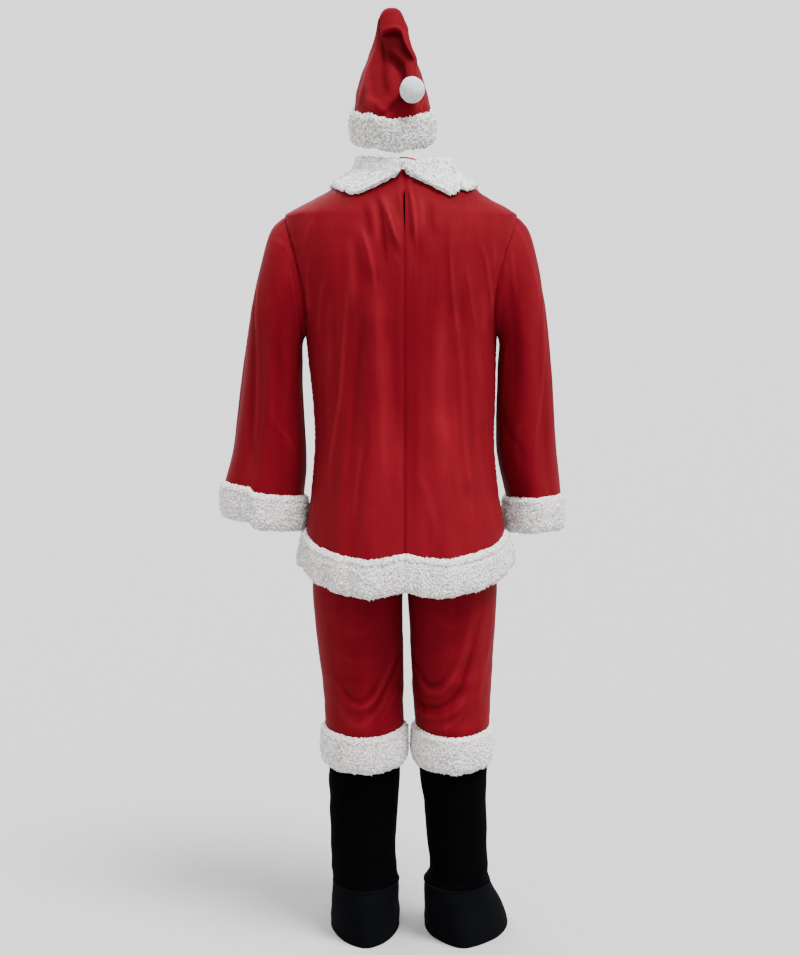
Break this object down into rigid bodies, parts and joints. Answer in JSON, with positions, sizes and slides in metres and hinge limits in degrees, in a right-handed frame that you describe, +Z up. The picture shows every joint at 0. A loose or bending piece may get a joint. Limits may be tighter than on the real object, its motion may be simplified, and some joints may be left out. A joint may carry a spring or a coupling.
{
  "type": "santa suit",
  "caption": "Worn-form santa suit: folded hat with pompom, A-line jacket with bell sleeves and slanted plush collar, cropped trousers and boot covers.",
  "frame": {"origin": "the middle of the wearer's shoulders, 1.470 m above the soles", "axes": "+Z up; the wearer faces -Y, so the back is on +Y; +X is the wearer's left"},
  "size_m": [0.7094, 0.3914, 1.8596],
  "materials": {
    "red_cloth": "satin knit",
    "white_plush": "sherpa plush",
    "black_cloth": "matt"
  },
  "bodies": {
    "root": {"hat_crown": "red_cloth", "jacket_back_left": "red_cloth", "jacket_back_right": "red_cloth", "jacket_front": "red_cloth", "sleeve_left": "red_cloth", "sleeve_right": "red_cloth", "trousers_left": "red_cloth", "trousers_right": "red_cloth", "waistband": "red_cloth", "hat_band": "white_plush", "hat_pompom": "white_plush", "cuff_left": "white_plush", "cuff_right": "white_plush", "hem_band_back": "white_plush", "hem_band_front": "white_plush", "collar_left": "white_plush", "collar_right": "white_plush", "leg_band_left": "white_plush", "leg_band_right": "white_plush", "boot_shaft_left": "black_cloth", "boot_shaft_right": "black_cloth", "boot_foot_left": "black_cloth", "boot_foot_right": "black_cloth"}
  },
  "joints": []
}
